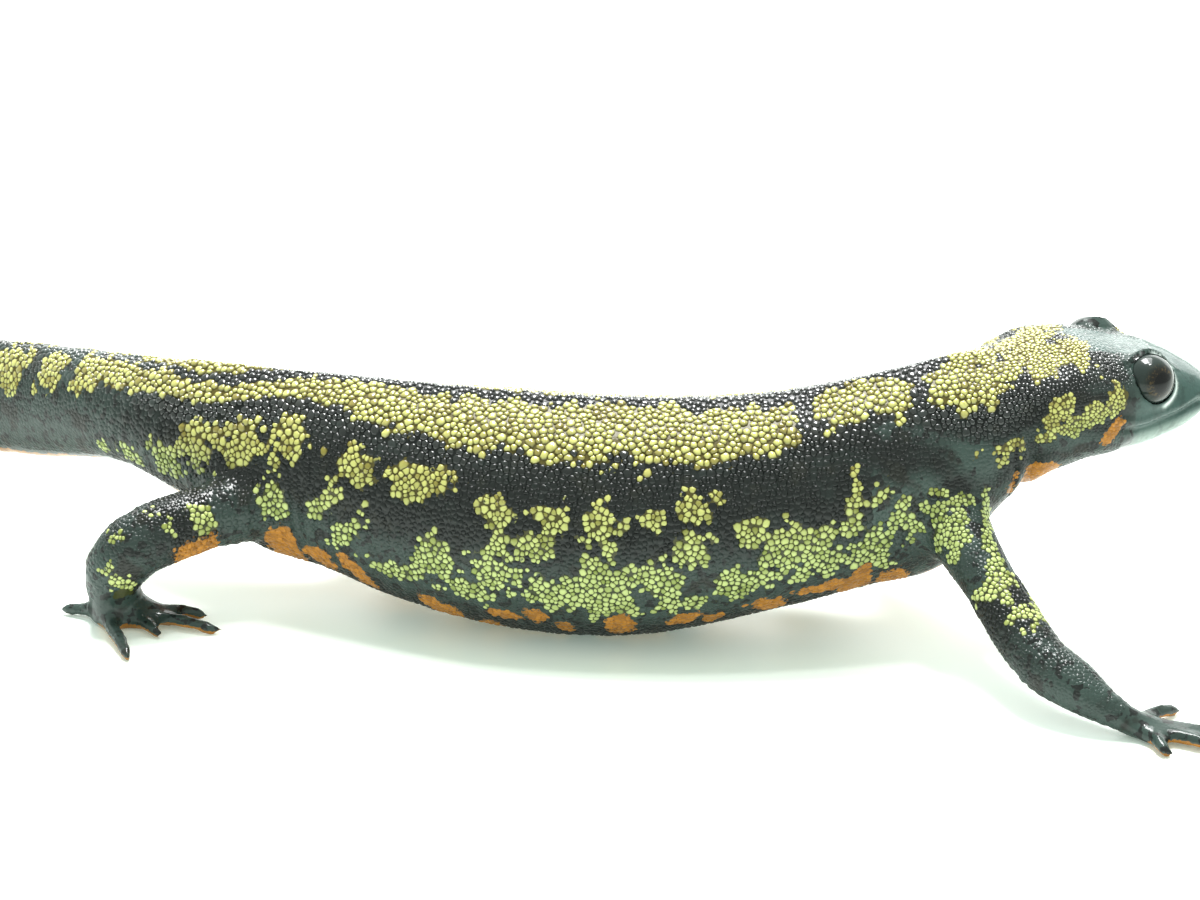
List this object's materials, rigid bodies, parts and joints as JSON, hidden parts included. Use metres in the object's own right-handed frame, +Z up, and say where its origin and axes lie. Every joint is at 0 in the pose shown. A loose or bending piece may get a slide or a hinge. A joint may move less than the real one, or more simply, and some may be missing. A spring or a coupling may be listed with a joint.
{
  "type": "sword-tailed newt, a salamander",
  "caption": "Life-size still model of a heavy-bodied newt standing on four splayed legs and its belly, head raised, body bent, blade-like tail laid out behind.",
  "frame": {"origin": "centre of the bounding box, at the ground that the animal stands on", "axes": "+X the way that it faces, along its length; +Y to its left; +Z up"},
  "size_m": [0.1546, 0.068, 0.0231],
  "materials": {
    "skin": "wet, finely granular amphibian skin, black with yellow-green lichen-like blotches above and orange below",
    "eye": "glossy, nearly black with a thin bronze ring"
  },
  "bodies": {
    "root": {"head": "skin", "neck": "skin", "chest": "skin", "belly": "skin", "pelvis": "skin", "tail_base": "skin", "tail_middle": "skin", "tail_tip": "skin", "upper_arm_front_right": "skin", "forearm_front_right": "skin", "hand_front_right": "skin", "upper_arm_front_left": "skin", "forearm_front_left": "skin", "hand_front_left": "skin", "thigh_hind_right": "skin", "shank_hind_right": "skin", "foot_hind_right": "skin", "thigh_hind_left": "skin", "shank_hind_left": "skin", "foot_hind_left": "skin", "eye_right": "eye", "eye_left": "eye"}
  },
  "joints": []
}
